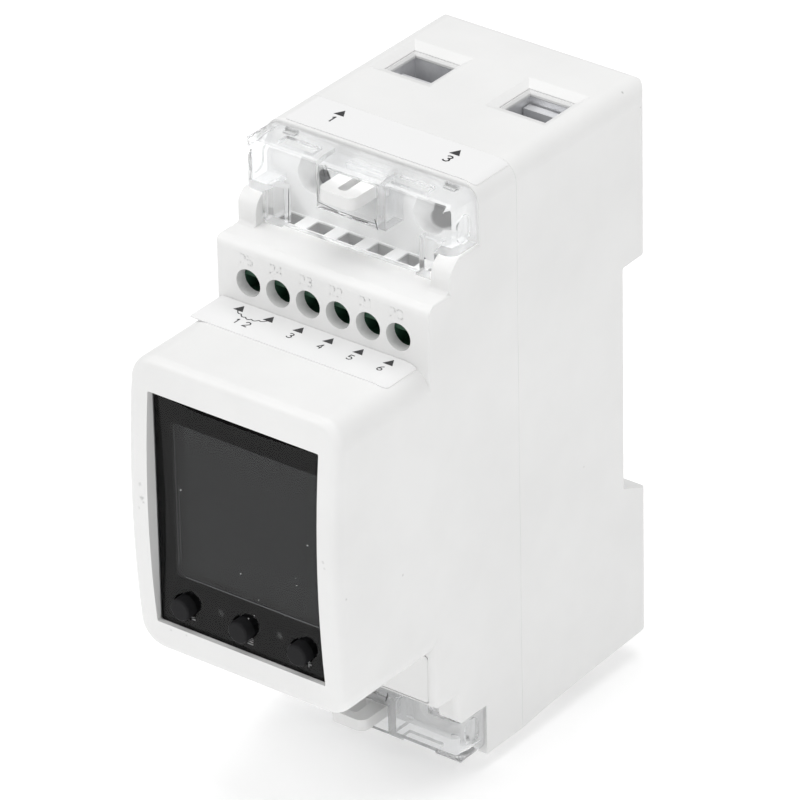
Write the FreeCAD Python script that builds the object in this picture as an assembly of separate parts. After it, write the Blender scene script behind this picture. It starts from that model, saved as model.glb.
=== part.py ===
import FreeCAD, Part
import os, math
os.makedirs("parts", exist_ok=True)
V = FreeCAD.Vector

# ---------------------------------------------------------------- dimensions (mm)
# Working coordinates: X across the width, Y towards the rail, Z up.
# They are moved at the end so that the origin is the middle of the rail seat.
W = 36.0                 # two 18 mm modules
HW = W / 2
Y_BACK = 1.4             # back plane of the two rail blocks
Y_SEAT = -4.7            # wall that lies on the rail
Z_RAIL0, Z_RAIL1 = 25.0, 60.05   # rail channel at the seat: takes a 35 mm rail
Z_RAIL0B, Z_RAIL1B = 22.4, 60.2  # the same at the back plane
Y_SEAM = -28.8           # joint between rear and front shell
Z_TOP = 86.85
R_LONG = 3.0             # the two long edges of the top
Z_BOT, Z_BOTB = -2.25, -0.4      # bottom at the seam and at the back plane
BELLY = [(-22.45, -1.6), (-12.1, -1.0)]   # the bottom rises in three steps towards the back
Y_MAIN = -37.0           # face with the main screw tunnels
Y_STEP = -48.4           # face with the six small screw holes
Z_SHELF1, Z_SHELF0 = 73.4, 10.9  # shelves above and below the middle block
Y_CHEEK = -43.6
Z_CHEEK1, Z_CHEEK0 = 78.1, 5.9
R_EDGE1, R_EDGE0 = 0.35, 0.85    # upright front corners, above and below the display box
Z_LEDGE, Z_BOX0 = 64.25, 18.5    # display box
Y_FRONT = -68.97         # most forward point of the bowed front
Z_BOW, R_BOW = 42.3, 165.0
WALL = 2.0
R_BOX = 4.0              # long corners of the display box
OPX, OPZ0, OPZ1 = 14.46, 23.35, 59.4   # opening for the window
Y_LENS, LENS_T = -67.1, 1.5      # the window is set from behind and is wider than the opening
LNX, LNZ0, LNZ1 = 15.4, 22.3, 60.4
LCX, LCZ0, LCZ1 = 12.6, 30.3, 54.2   # clear field in the black print
PITCH = 5.08
SIG_X = [-12.55 + PITCH * i for i in range(6)]
SIG_Z, R_SIG = 67.6, 2.05      # six screwdriver holes
SIG_ZS = 66.2                  # axis of the small screws behind them
T_STEP = 1.85                  # wall with these holes
MAIN_X = 9.76
MAIN_Z1, MAIN_Z0 = 78.5, 6.1   # screw axes
MOUTH1 = (9.8, 79.9, 2.65)     # wide end of the upper screwdriver guides: x, z, radius
MOUTH0 = (9.6, 2.75, 3.25)     # the same for the lower ones
R_GUIDE = 1.5                  # narrow end, in front of the screw head
Y_GUIDE = -34.9
BTN_X = [-10.0, 0.0, 10.0]
BTN_Z = 26.85
BTN_R = 1.65
Y_CAP = -68.6            # face of the button caps
LED_X = 5.05
R_TUNNEL = 3.0                 # chamber in which the screw head travels
R_HEAD, R_SHANK = 2.7, 2.0
SHIFT = V(0, -Y_SEAT, -42.5)

# ---------------------------------------------------------------- helpers
def box(x0, x1, y0, y1, z0, z1):
    return Part.makeBox(x1 - x0, y1 - y0, z1 - z0, V(x0, y0, z0))

def cyl(axis, a, b, r, c0, c1):
    if axis == 'y':
        return Part.makeCylinder(r, c1 - c0, V(a, c0, b), V(0, 1, 0))
    if axis == 'x':
        return Part.makeCylinder(r, c1 - c0, V(c0, a, b), V(1, 0, 0))
    return Part.makeCylinder(r, c1 - c0, V(a, b, c0), V(0, 0, 1))

def to3(plane, p, c):
    if plane == 'x':
        return V(c, p[0], p[1])
    if plane == 'y':
        return V(p[0], c, p[1])
    return V(p[0], p[1], c)

def rwire(plane, pts, c):
    """closed outline with rounded corners; pts are (a, b, radius)"""
    n = len(pts)
    segs = []
    for i in range(n):
        p0, p1, p2 = pts[i - 1], pts[i], pts[(i + 1) % n]
        r = p1[2] if len(p1) > 2 else 0
        if r <= 0:
            segs.append((p1[:2], None, p1[:2]))
            continue
        a = (p0[0] - p1[0], p0[1] - p1[1]); b = (p2[0] - p1[0], p2[1] - p1[1])
        la, lb = math.hypot(*a), math.hypot(*b)
        ua = (a[0] / la, a[1] / la); ub = (b[0] / lb, b[1] / lb)
        cosang = ua[0] * ub[0] + ua[1] * ub[1]
        half = math.acos(max(-1, min(1, cosang))) / 2
        d = r / math.tan(half)
        t1 = (p1[0] + ua[0] * d, p1[1] + ua[1] * d)
        t2 = (p1[0] + ub[0] * d, p1[1] + ub[1] * d)
        m = (ua[0] + ub[0], ua[1] + ub[1]); lm = math.hypot(*m)
        h = r / math.sin(half) - r
        mid = (p1[0] + m[0] / lm * h, p1[1] + m[1] / lm * h)
        segs.append((t1, mid, t2))
    edges = []
    for i in range(n):
        t1, mid, t2 = segs[i]
        if mid is not None:
            edges.append(Part.Arc(to3(plane, t1, c), to3(plane, mid, c), to3(plane, t2, c)).toShape())
        nx = segs[(i + 1) % n][0]
        if math.hypot(nx[0] - t2[0], nx[1] - t2[1]) > 1e-6:
            edges.append(Part.makeLine(to3(plane, t2, c), to3(plane, nx, c)))
    return Part.Wire(Part.__sortEdges__(edges))

def prism(plane, pts, c0, c1):
    f = Part.Face(rwire(plane, pts, c0))
    d = {'x': V(c1 - c0, 0, 0), 'y': V(0, c1 - c0, 0), 'z': V(0, 0, c1 - c0)}[plane]
    return f.extrude(d)

def rrect(plane, a0, a1, b0, b1, r, c0, c1):
    """rounded rectangle prism; r is one radius or four (a0b0, a1b0, a1b1, a0b1)"""
    if not isinstance(r, (list, tuple)):
        r = [r] * 4
    return prism(plane, [(a0, b0, r[0]), (a1, b0, r[1]), (a1, b1, r[2]), (a0, b1, r[3])], c0, c1)

def fuse(first, *rest):
    s = first
    for o in rest:
        s = s.fuse(o)
    return s.removeSplitter()

def cut(first, *rest):
    s = first
    for o in rest:
        s = s.cut(o)
    return s

def funnel(x, y, z_out, z_in, z_end, a_out, b_out, a_in, b_in):
    """square funnel: wide at z_out, narrow from z_in to z_end"""
    def w(a, b, z):
        return Part.makePolygon([V(x - a, y - b, z), V(x + a, y - b, z), V(x + a, y + b, z), V(x - a, y + b, z), V(x - a, y - b, z)])
    eps = 0.3 if z_out > z_in else -0.3
    k = eps / (z_out - z_in)
    ao, bo = a_out + (a_out - a_in) * k, b_out + (b_out - b_in) * k
    f = Part.makeLoft([w(ao, bo, z_out + eps), w(a_in, b_in, z_in)], True, True)
    lo, hi = min(z_in, z_end), max(z_in, z_end)
    return f.fuse(box(x - a_in, x + a_in, y - b_in, y + b_in, lo, hi))

NODES = []

def save(name, *shapes):
    NODES.append(name)
    if len(shapes) == 1:
        s = shapes[0].copy()
    else:
        s = Part.makeCompound([q.copy() for q in shapes])
    s.translate(SHIFT)
    if not s.isValid():
        s.fix(1e-5, 1e-5, 1e-4)
    print(name, "solids", len(s.Solids), "vol", round(s.Volume, 1), "valid", s.isValid())
    s.exportStep("parts/%s.step" % name)

def mz(s):
    """mirror image about the middle height of the housing"""
    return s.mirror(V(0, 0, 42.3), V(0, 0, 1))

# ---------------------------------------------------------------- rear shell
side = prism('x', [(Y_SEAM, Z_BOT)] + BELLY + [(Y_BACK - 0.7, Z_BOTB - 0.03), (Y_BACK - 0.2, Z_BOTB + 0.22), (Y_BACK, Z_BOTB + 0.75), (Y_BACK, Z_RAIL0B, 0.5), (Y_SEAT, Z_RAIL0, 0.3),
                   (Y_SEAT, Z_RAIL1, 0.3), (Y_BACK, Z_RAIL1B, 0.7), (Y_BACK, Z_TOP, 1.0), (Y_SEAM, Z_TOP)], -HW, HW)
front_view = rrect('y', -HW, HW, Z_BOT - 3, Z_TOP, [0, 0, R_LONG, R_LONG], Y_SEAM, Y_BACK + 1)
plan = rrect('z', -HW, HW, Y_SEAM, Y_BACK, [0, 0, 2.0, 2.0], Z_BOT - 1, Z_TOP + 1)
rear = side.common(front_view).common(plan)
# the long edges of the bottom are softened
try:
    low_edges = [ed for ed in rear.Edges if ed.BoundBox.ZMax < -0.3 and ed.BoundBox.YLength > 5 and abs(ed.BoundBox.XMax) > HW - 0.01
                 and ed.BoundBox.XLength < 0.01]
    low_edges += [ed for ed in rear.Edges if ed.BoundBox.ZMax < -0.3 and ed.BoundBox.YLength > 5 and abs(ed.BoundBox.XMin) > HW - 0.01
                  and ed.BoundBox.XLength < 0.01 and not any(ed.isSame(q) for q in low_edges)]
    softened = rear.makeFillet(0.4, low_edges)
    if softened.isValid() and len(softened.Solids) == 1:
        rear = softened
    else:
        print("bottom left sharp")
except Exception as err:
    print("bottom fillet failed", err)
# fine bevel at the joint with the front shell
try:
    joint_edges = [ed for ed in rear.Edges if ed.BoundBox.YMax < Y_SEAM + 0.01]
    bevelled = rear.makeChamfer(0.14, joint_edges)
    if bevelled.isValid() and len(bevelled.Solids) == 1:
        rear = bevelled
    else:
        print("joint left sharp")
except Exception as err:
    print("joint bevel failed", err)
cav = [box(-16, 16, Y_SEAM - 1, -6.7, 0.1, 84.4),
       box(-16, 16, -6.8, -0.8, 62.2, 84.3),
       box(-16, -8.2, -6.8, -0.8, 1.2, 20.4),
       box(8.2, 16, -6.8, -0.8, 1.2, 20.4)]
rear = cut(rear, *cav)
# partitions and shelves that hold the clamp boxes
ribs = [box(-1, 1, -28.0, -6.6, 73.2, 84.5), box(-16.1, 16.1, -24.0, -9.4, 73.2, 75.2),
        box(-1, 1, -28.0, -6.6, 0.0, 11.4), box(-16.1, 16.1, -24.0, -9.4, 9.4, 11.4)]
rear = fuse(rear, *ribs)
# four square wire entries; the upper clamp frames stand in pockets right under theirs
for sx in (-1, 1):
    xe = sx * MAIN_X
    rear = rear.cut(funnel(xe, -12.85, Z_TOP, 86.2, 86.0, 5.15, 5.1, 3.9, 3.45))
    rear = rear.cut(funnel(xe, -12.85, 86.2, 85.65, 84.2, 3.9, 3.45, 3.5, 3.1))
    rear = rear.cut(box(xe - 4.75, xe + 4.75, -16.95, -8.55, 84.3, 85.3))
    rear = rear.cut(funnel(xe, -12.85, -1.1, -0.3, 0.3, 5.15, 5.1, 3.5, 3.1))
# latch channel in the lower block, open behind and below
chan = fuse(box(-6.1, 6.1, -3.7, -0.9, -3.0, 26.0), box(-4.6, 4.6, -1.0, 2.0, -3.0, 26.0))
rear = rear.cut(chan)
rear = fuse(rear, box(-1.6, 1.6, -3.8, -1.35, 8.0, 9.4))
# upper rail hooks and two low pads level with the front of the base
hook = [(-3.5, 60.6), (-3.5, 58.5), (-2.7, 58.5), (-0.9, 60.6)]
for a, b in ((-11.5, -5.0), (5.0, 11.5)):
    rear = rear.fuse(prism('x', hook, a, b))
    rear = rear.cut(box(a - 0.3, b + 0.3, Y_SEAT - 0.6, Y_SEAT + 0.9, 58.2, Z_RAIL1 + 0.02))
rear = rear.cut(box(-6.4, 6.4, Y_SEAT - 0.6, Y_SEAT + 0.6, 24.6, 27.2))
for a, b in ((-12.5, -8.5), (8.5, 12.5)):
    rear = rear.fuse(box(a, b, -6.0, -1.0, Z_BOT, 0.0))
rear = rear.removeSplitter()
save("rear_housing", rear)

# ---------------------------------------------------------------- front shell
def bow(z):
    return Y_FRONT + (z - Z_BOW) ** 2 / (2 * R_BOW)

main = box(-HW, HW, Y_MAIN, Y_SEAM, Z_BOT, Z_TOP).common(rrect('y', -HW, HW, Z_BOT, Z_TOP, [0.4, 0.4, R_LONG, R_LONG], Y_MAIN - 1, Y_SEAM + 1))
main = main.common(rrect('x', Y_MAIN, Y_SEAM, Z_BOT, Z_TOP, [0.4, 0, 0, 0.5], -HW, HW))
mid = rrect('x', Y_STEP, Y_MAIN + 0.5, Z_SHELF0, Z_SHELF1, [0.7, 0, 0, 1.5], -HW, HW)
mid = mid.common(rrect('y', -HW, HW, Z_SHELF0, Z_SHELF1, [0.2, 0.2, R_EDGE1, R_EDGE1], Y_STEP - 1, Y_MAIN + 1))
mid = mid.common(fuse(rrect('z', -HW, HW, Y_STEP, Y_MAIN + 1, [R_EDGE1, R_EDGE1, 0, 0], 40.0, Z_SHELF1 + 1),
                      rrect('z', -HW, HW, Y_STEP, Y_MAIN + 1, [R_EDGE0, R_EDGE0, 0, 0], Z_SHELF0 - 1, 40.0)))
# fine groove around the panel under the display box
groove = rrect('y', -16.95, 16.95, 11.35, 19.15, 0.75, Y_STEP - 0.5, Y_STEP + 0.3)
groove = groove.cut(rrect('y', -16.7, 16.7, 11.6, 18.9, 0.5, Y_STEP - 1, Y_STEP + 1))
mid = mid.cut(groove)
cheeks = []
for sx in (-1, 1):
    a, b = sorted((sx * 14.8, sx * HW))
    c = rrect('x', Y_CHEEK, Y_MAIN + 0.5, Z_SHELF1 - 3, Z_CHEEK1, [0, 0, 0, 2.8], a, b)
    c = c.common(rrect('z', -HW, HW, Y_CHEEK, Y_MAIN + 1, [R_EDGE1, R_EDGE1, 0, 0], 60, 90))
    c = c.common(rrect('y', -HW, HW, 60, Z_CHEEK1, [0, 0, R_EDGE1, R_EDGE1], Y_CHEEK - 1, Y_MAIN + 1))
    cheeks.append(c)
    # hollow curve where the cheek meets the shelf
    a2, b2 = sorted((sx * 14.8, sx * (HW - 0.3)))
    cheeks.append(box(a2, b2, Y_CHEEK - 0.7, Y_CHEEK + 0.2, Z_SHELF1 - 0.4, Z_SHELF1 + 0.7).cut(
        cyl('x', Y_CHEEK - 0.7, Z_SHELF1 + 0.7, 0.7, a2 - 1, b2 + 1)))
    c0 = rrect('x', Y_CHEEK, Y_MAIN + 0.5, Z_CHEEK0, Z_SHELF0 + 3, [1.4, 0, 0, 0], a, b)
    c0 = c0.common(rrect('z', -HW, HW, Y_CHEEK, Y_MAIN + 1, [R_EDGE0, R_EDGE0, 0, 0], 0, 20))
    cheeks.append(c0)
# display box with a bowed front; its long corners are rounded and the front rim is softened
zb0, zb1 = Z_BOX0, Z_LEDGE
y_b0, y_b1 = bow(zb0), bow(zb1)
e = [Part.Arc(V(-HW, y_b0, zb0), V(-HW, bow((zb0 + zb1) / 2), (zb0 + zb1) / 2), V(-HW, y_b1, zb1)).toShape(),
     Part.makeLine(V(-HW, y_b1, zb1), V(-HW, Y_STEP + 1, zb1)),
     Part.makeLine(V(-HW, Y_STEP + 1, zb1), V(-HW, Y_STEP + 1, zb0)),
     Part.makeLine(V(-HW, Y_STEP + 1, zb0), V(-HW, y_b0, zb0))]
dbox = Part.Face(Part.Wire(Part.__sortEdges__(e))).extrude(V(W, 0, 0))
dbox = dbox.common(rrect('y', -HW, HW, zb0, zb1, R_BOX, Y_FRONT - 1, Y_STEP + 2))
front_edges = []
for ed in dbox.Edges:
    if all(abs(v.Point.y - bow(v.Point.z)) < 0.02 for v in ed.Vertexes) and ed.BoundBox.YMax < -64:
        front_edges.append(ed)
try:
    soft = dbox.makeFillet(1.5, front_edges)
    if soft.isValid() and abs(soft.Volume - dbox.Volume) < 0.03 * dbox.Volume:
        dbox = soft
    else:
        print("front rim left sharp")
except Exception as err:
    print("front rim fillet failed", err)
front = fuse(main, mid, dbox, *cheeks)
# hollow inside
hollow = [box(-16, 16, -35.0, Y_SEAM + 1, 0.1, 84.4), box(-16, 16, Y_STEP + T_STEP, -34.5, 13.0, 72.4),
          rrect('y', -16, 16, zb0 + 2, zb1 - 2, 2.0, -64.5, Y_STEP + 3)]
front = cut(front, *hollow)
# opening in the front wall and the wider seat for the window behind it
front = front.cut(rrect('y', -OPX, OPX, OPZ0, OPZ1, 0.25, -72, -65.9))
front = front.cut(rrect('y', -LNX - 0.1, LNX + 0.1, LNZ0 - 0.1, LNZ1 + 0.1, 0.6, Y_LENS, -64.0))
# chambers for the screw heads, each with a guide for the screwdriver in front
for sx in (-1, 1):
    for mzc in (MAIN_Z1, MAIN_Z0):
        front = front.fuse(cyl('y', sx * MAIN_X, mzc, 4.2, -36.0, -29.5))
for sx in (-1, 1):
    for mzc in (MAIN_Z1, MAIN_Z0):
        front = front.cut(cyl('y', sx * MAIN_X, mzc, R_TUNNEL, -34.4, -29.0))
def guide(sx, mouth, zg):
    """funnel from a wide mouth to a narrow hole in front of the screw head"""
    def ring(y, x, z, r):
        return Part.Wire([Part.makeCircle(r, V(x, y, z), V(0, 1, 0))])
    k = 0.4 / (Y_GUIDE - Y_MAIN)
    xm, xg, zm, rm = sx * mouth[0], sx * MAIN_X, mouth[1], mouth[2]
    f = Part.makeLoft([ring(Y_MAIN - 0.4, xm + (xm - xg) * k, zm + (zm - zg) * k, rm + (rm - R_GUIDE) * k),
                       ring(Y_GUIDE, xg, zg, R_GUIDE)], True, True)
    return [f, cyl('y', xg, zg, R_GUIDE - 0.03, Y_GUIDE - 0.2, -34.2)]
for sx in (-1, 1):
    front = cut(front, *guide(sx, MOUTH1, MAIN_Z1))
    front = cut(front, *guide(sx, MOUTH0, MAIN_Z0))
# six round screwdriver holes and six wire slots
for x in SIG_X:
    front = front.cut(cyl('y', x, SIG_Z, R_SIG, Y_STEP - 1, Y_STEP + T_STEP + 0.1))
    front = front.cut(box(x - 1.5, x + 1.5, -39.9, -37.2, 71.0, 74.5))
# tongues that enter the rear shell
for za, zb, zw in ((83.15, 84.1, 84.7), (0.4, 1.35, -0.3)):
    for xa, xb in ((-15.0, -5.2), (5.2, 15.0)):
        front = front.fuse(box(xa, xb, -31.0, -26.0, za, zb))
        front = front.fuse(box(xa, xb, -31.0, -29.2, min(za, zw), max(zb, zw)))
for sx in (-1, 1):
    for mzc in (MAIN_Z1, MAIN_Z0):
        front = front.cut(cyl('y', sx * MAIN_X, mzc, R_TUNNEL, -34.4, -25.0))
# notches for the tabs of the clear covers
for sx in (-1, 1):
    a, b = sorted((sx * 12.3, sx * 14.7))
    front = front.cut(box(a, b, Y_MAIN - 0.5, Y_MAIN + 1.1, 84.8, 85.85))
    front = front.cut(box(a, b, Y_MAIN - 0.5, Y_MAIN + 1.1, -1.25, -0.2))
# sealing lugs
def lug(y_f, z0, z1):
    s = rrect('z', -3.03, 3.03, y_f, Y_MAIN + 0.5, [1.3, 1.3, 0, 0], z0, z1)
    return s.cut(rrect('z', -0.72, 0.72, y_f + 1.45, y_f + 5.8, 0.5, z0 - 1, z1 + 1))
LUG1 = (81.85, 83.7)
LUG0 = (0.2, 2.0)
front = fuse(front, lug(-45.1, *LUG1), lug(-45.5, *LUG0))
save("front_housing", front)

# ---------------------------------------------------------------- clear terminal covers
def cover(lug_z0, lug_z1, zb, zn):
    """top cover; the lower one is a mirror image with its own edge zb and niche floor zn"""
    x1, yf, yb, zt, t = 17.7, -42.4, -37.15, 86.2, 1.0
    body = rrect('x', yf, yb, zb, zt, [0, 0, 0, 1.4], -x1, x1)
    body = body.common(rrect('y', -x1, x1, zb - 1, zt, [0, 0, 1.6, 1.6], yf - 1, yb + 1))
    body = body.common(rrect('z', -x1, x1, yf, yb, [1.5, 1.5, 0, 0], zb - 1, zt + 1))
    body = body.cut(rrect('y', -x1 + t, x1 - t, zb - 1, zt - t, [0, 0, 1.0, 1.0], yf + t, yb + 1))
    # apron between the cheeks, with a thick post at each end
    body = body.fuse(box(-14.5, 14.5, yf, yf + t, 74.3, zb + 1))
    for sx in (-1, 1):
        a, b = sorted((sx * 11.4, sx * 14.2))
        body = body.fuse(box(a, b, yf, yf + 2.4, 73.9, zb + 1.1))
        a, b = sorted((sx * 14.2, sx * x1))
        body = body.fuse(rrect('z', a, b, yf + 0.02, yb, [0, 1.5, 0, 0] if sx > 0 else [1.5, 0, 0, 0], zb, zb + 0.9))
        a, b = sorted((sx * 12.5, sx * 14.5))
        body = body.fuse(box(a, b, yb - 0.6, yb + 0.95, 84.95, 85.7))
        # shallow oval dimple outside each end wall
        d = cyl('x', -39.8, 82.2, 1.5, min(sx * (x1 - 0.35), sx * (x1 + 1)), max(sx * (x1 - 0.35), sx * (x1 + 1)))
        d2 = cyl('x', -39.8, 81.0, 1.5, min(sx * (x1 - 0.35), sx * (x1 + 1)), max(sx * (x1 - 0.35), sx * (x1 + 1)))
        d3 = box(min(sx * (x1 - 0.35), sx * (x1 + 1)), max(sx * (x1 - 0.35), sx * (x1 + 1)), -41.3, -38.3, 81.0, 82.2)
        body = body.cut(fuse(d, d2, d3))
    # niche around the sealing lug, open to the front under the full top wall
    body = body.fuse(box(-5.8, 5.8, yf + 0.02, -37.4, zn - 0.85, zt - t + 0.1))
    body = body.cut(box(-5.0, 5.0, yf - 1, -38.3, zn, zt - t))
    body = body.cut(box(-3.4, 3.4, -39.5, -37.0, lug_z0 - 0.35, lug_z1 + 0.35))
    # two shallow pockets in the top
    for sx in (-1, 1):
        a, b = sorted((sx * 6.5, sx * 12.5))
        body = body.cut(box(a, b, -41.3, -39.3, zt - 0.5, zt + 1))
    return body.removeSplitter()
save("top_terminal_cover", cover(LUG1[0], LUG1[1], 78.3, 79.2))
save("bottom_terminal_cover", mz(cover(84.6 - LUG0[1], 84.6 - LUG0[0], 78.9, 80.8)))

# ---------------------------------------------------------------- labels
def sheet(x0, xc, zc, r, deg, z, y0, y1, radii, x1, t=0.13):
    """thin label: flat from x0 to xc, then bent round a corner of radius r by deg degrees"""
    a = math.radians(deg)
    def pt(rr, th):
        return V(xc + rr * math.sin(th), y0, zc + rr * math.cos(th))
    es = [Part.makeLine(V(x0, y0, z), V(xc, y0, z)),
          Part.Arc(pt(r, 0), pt(r, a / 2), pt(r, a)).toShape(),
          Part.makeLine(pt(r, a), pt(r + t, a)),
          Part.Arc(pt(r + t, a), pt(r + t, a / 2), pt(r + t, 0)).toShape(),
          Part.makeLine(V(xc, y0, z + t), V(x0, y0, z + t)),
          Part.makeLine(V(x0, y0, z + t), V(x0, y0, z))]
    f = Part.Face(Part.Wire(Part.__sortEdges__(es))).extrude(V(0, y1 - y0, 0))
    return f.common(rrect('z', x0, x1, y0, y1, radii, z - 4, z + 2))
save("ledge_label", sheet(-17.1, HW - R_BOX, Z_LEDGE - R_BOX, R_BOX, 31, Z_LEDGE, -55.6, -48.5, [0.3, 1.1, 0.3, 0.3], 16.0))
save("top_label", sheet(-15.0, HW - R_LONG, Z_TOP - R_LONG, R_LONG, 40, Z_TOP, -36.6, -28.95, [0.5, 1.0, 0.3, 0.3], 16.9))

# ---------------------------------------------------------------- display group
lens = rrect('y', -LNX, LNX, LNZ0, LNZ1, 0.5, Y_LENS, Y_LENS + LENS_T)
for x in BTN_X:
    lens = lens.cut(cyl('y', x, BTN_Z, BTN_R + 0.3, Y_LENS - 1, Y_LENS + LENS_T + 1))
save("display_window", lens)
YM = Y_LENS + LENS_T
mask = rrect('y', -LNX, LNX, LNZ0, LNZ1, 0.5, YM, YM + 0.12)
mask = mask.cut(rrect('y', -LCX, LCX, LCZ0, LCZ1, 0.2, YM - 1, YM + 1))
for x in BTN_X:
    mask = mask.cut(cyl('y', x, BTN_Z, BTN_R + 0.3, YM - 1, YM + 1))
for x in (-LED_X, LED_X):
    mask = mask.cut(cyl('y', x, BTN_Z, 0.55, YM - 1, YM + 1))
save("window_mask", mask)
save("lcd_panel", box(-14.2, 14.2, YM + 0.15, YM + 1.7, 29.7, 58.5))
bl = box(-14.2, 14.2, YM + 1.75, -60.9, 29.7, 58.5)
for x in (-13.2, 13.2):
    for z in (30.9, 57.3):
        bl = bl.fuse(cyl('y', x, z, 0.8, -61.5, -58.8))
save("lcd_backlight", bl)
db = box(-15.2, 15.2, -58.8, -57.2, 21.3, 61.3)
save("display_board", db)
# each key has a cap, a flange behind the window and a stem into its switch
for nm, x in zip(("button_minus", "button_menu", "button_plus"), BTN_X):
    cap = cyl('y', x, BTN_Z, BTN_R, Y_CAP, -65.0)
    cap = cap.makeFillet(0.35, [ed for ed in cap.Edges if ed.BoundBox.YMax < Y_CAP + 0.1])
    b = fuse(cap, cyl('y', x, BTN_Z, 2.3, YM + 0.2, -64.4), cyl('y', x, BTN_Z, 0.9, -64.8, -60.6))
    save(nm, b)
sw = []
for x in BTN_X:
    sw.append(box(x - 2.25, x + 2.25, -61.6, -58.8, BTN_Z - 2.25, BTN_Z + 2.25).cut(cyl('y', x, BTN_Z, 1.2, -62.0, -60.0)))
save("tactile_switches", *sw)
for nm, x in (("status_led_left", -LED_X), ("status_led_right", LED_X)):
    d = fuse(cyl('y', x, BTN_Z, 1.0, YM + 0.2, -61.6), cyl('y', x, BTN_Z, 1.25, -61.8, -60.8),
             box(x - 0.9, x - 0.5, -61.0, -58.8, BTN_Z - 0.2, BTN_Z + 0.2), box(x + 0.5, x + 0.9, -61.0, -58.8, BTN_Z - 0.2, BTN_Z + 0.2))
    save(nm, d)

# ---------------------------------------------------------------- electronics
save("main_board", box(-15.6, 15.6, -32.6, -31.0, 14.0, 70.6))
save("bridge_board", box(-13.4, -11.8, -57.2, -32.6, 26.0, 52.0))
radio = fuse(box(-11.8, -11.0, -52.0, -36.0, 29.0, 47.0), box(-11.0, -8.9, -50.5, -40.5, 30.5, 45.5))
save("radio_module", radio)
save("smoothing_capacitors", cyl('y', 2.0, 21.5, 4.0, -45.4, -32.6), cyl('y', 11.0, 21.5, 4.0, -45.4, -32.6))
save("supply_transformer", fuse(box(-3.0, 11.0, -46.0, -32.6, 30.0, 44.0), box(-5.0, 13.0, -42.5, -36.0, 32.0, 42.0)))
save("surge_varistor", fuse(cyl('y', 9.0, 51.5, 4.6, -39.0, -35.5), box(6.6, 7.2, -36.0, -32.6, 51.0, 51.6), box(10.8, 11.4, -36.0, -32.6, 51.0, 51.6)))
save("metering_chip", box(-5.0, 1.0, -34.3, -32.6, 50.0, 60.0))
relay = box(2.5, 15.5, -29.0, -8.7, 28.0, 56.0)
save("latching_relay", relay)
# conductors along the back of the housing
BB0, BB1 = -8.65, -7.65
save("neutral_busbar", box(-MAIN_X - 3, -MAIN_X + 3, BB0, BB1, 1.0, 83.6))
save("line_in_busbar", box(MAIN_X - 3, MAIN_X + 3, BB0, BB1, 50.0, 83.6))
save("relay_tail_strip", box(MAIN_X - 3, MAIN_X + 3, BB0, BB1, 30.0, 38.0))
save("shunt_resistor", box(MAIN_X - 3, MAIN_X + 3, BB0, BB1, 22.0, 30.0))
save("line_out_busbar", box(MAIN_X - 3, MAIN_X + 3, BB0, BB1, 1.0, 22.0))

# ---------------------------------------------------------------- main terminals
def clamp_box(sx, ztop):
    """fixed steel frame: open above and below, thick threaded wall in front; its other walls reach ztop"""
    x = sx * MAIN_X
    s = rrect('z', x - 4.6, x + 4.6, -16.8, -8.7, 0.6, 75.4, ztop)
    if ztop > 84.3:
        s = s.cut(box(x - 3.7, x + 3.7, -17.5, -14.7, 84.2, 86))
    s = s.cut(box(x - 3.7, x + 3.7, -14.8, -9.6, 74, 86))
    return s.cut(cyl('y', x, MAIN_Z1, R_SHANK + 0.05, -19, -14))
def clamp_plate(sx, yf):
    """pressure plate pushed by the screw; yf is its front face"""
    x = sx * MAIN_X
    s = box(x - 3.5, x + 3.5, yf, yf + 1.4, 75.7, 84.1)
    for k in range(6):
        zg = 76.7 + 1.2 * k
        s = s.cut(box(x - 3.6, x + 3.6, yf + 1.15, yf + 2, zg, zg + 0.4))
    return s.cut(cyl('y', x, MAIN_Z1, 1.05, yf - 1, yf + 0.9))
def main_screw(sx, yf):
    x = sx * MAIN_X
    h0 = yf - 19.6
    head = cyl('y', x, MAIN_Z1, R_HEAD, h0, h0 + 2.6)
    head = head.cut(box(x - 0.45, x + 0.45, h0 - 1, h0 + 1.4, MAIN_Z1 - 1.9, MAIN_Z1 + 1.9))
    head = head.cut(box(x - 1.9, x + 1.9, h0 - 1, h0 + 1.4, MAIN_Z1 - 0.45, MAIN_Z1 + 0.45))
    return fuse(head, cyl('y', x, MAIN_Z1, R_SHANK, h0 + 2.4, yf - 0.05), cyl('y', x, MAIN_Z1, 1.0, yf - 0.1, yf + 0.8))
Y_PL_OPEN, Y_PL_MID, Y_PL_SHUT = -14.7, -14.1, -11.3
for nm, sx, low, yb in (("in_left", -1, False, Y_PL_MID), ("in_right", 1, False, Y_PL_SHUT),
                        ("out_left", -1, True, Y_PL_OPEN), ("out_right", 1, True, Y_PL_OPEN)):
    fl = mz if low else (lambda s: s)
    save("clamp_box_" + nm, fl(clamp_box(sx, 84.2 if low else 85.15)))
    save("clamp_plate_" + nm, fl(clamp_plate(sx, yb)))
    save("clamp_screw_" + nm, fl(main_screw(sx, yb)))

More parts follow.
